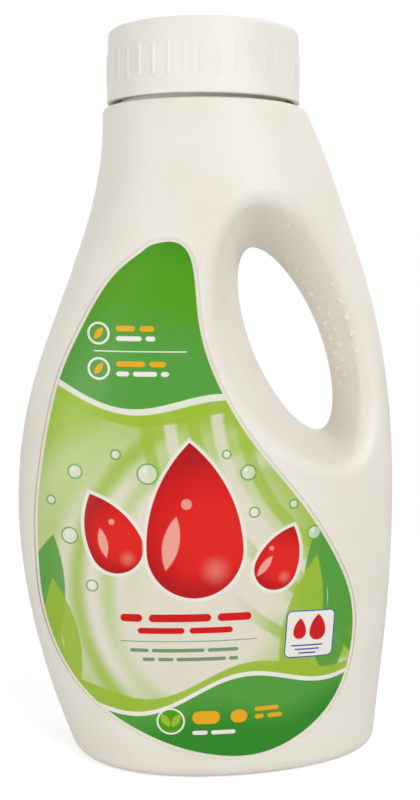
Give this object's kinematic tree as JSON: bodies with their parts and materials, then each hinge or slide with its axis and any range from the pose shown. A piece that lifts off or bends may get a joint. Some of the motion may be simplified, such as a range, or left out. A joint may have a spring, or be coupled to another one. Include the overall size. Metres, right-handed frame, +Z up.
{
  "type": "laundry detergent bottle",
  "caption": "Blow-moulded bottle with a through handle, a screw-on dosing cap, a pour spout in its neck and a label on each face, filled with liquid.",
  "frame": {"origin": "under the middle of the bottle's width and depth, on the surface that it stands on", "axes": "+Z up along the neck, -Y out of the front label, +X towards the handle"},
  "size_m": [0.129, 0.0676, 0.2435],
  "materials": {
    "bottle_plastic": "satin",
    "label_film": "satin",
    "spout_plastic": "satin",
    "cap_plastic": "satin",
    "liner_foam": "matte",
    "detergent": "gloss"
  },
  "bodies": {
    "bottle": {"bottle": "bottle_plastic", "pour_spout": "spout_plastic", "front_label": "label_film", "back_label": "label_film", "liquid_detergent": "detergent"},
    "cap_lift": {"cap_liner": "liner_foam"},
    "cap": {"cap": "cap_plastic"}
  },
  "joints": [
    {"name": "cap_rise", "type": "slide", "parent": "bottle", "child": "cap_lift", "axis": [0, 0, 1], "range_m": [0, 0.036]},
    {"name": "cap_unscrew", "type": "hinge", "parent": "cap_lift", "child": "cap", "pos_m": [-0.0012, 0, 0.23], "axis": [0, 0, 1], "range_deg": [0, 1080]}
  ],
  "couplings": [
    {"joint": "cap_rise", "follows": "cap_unscrew", "m_per_rad": 0.0019099}
  ]
}
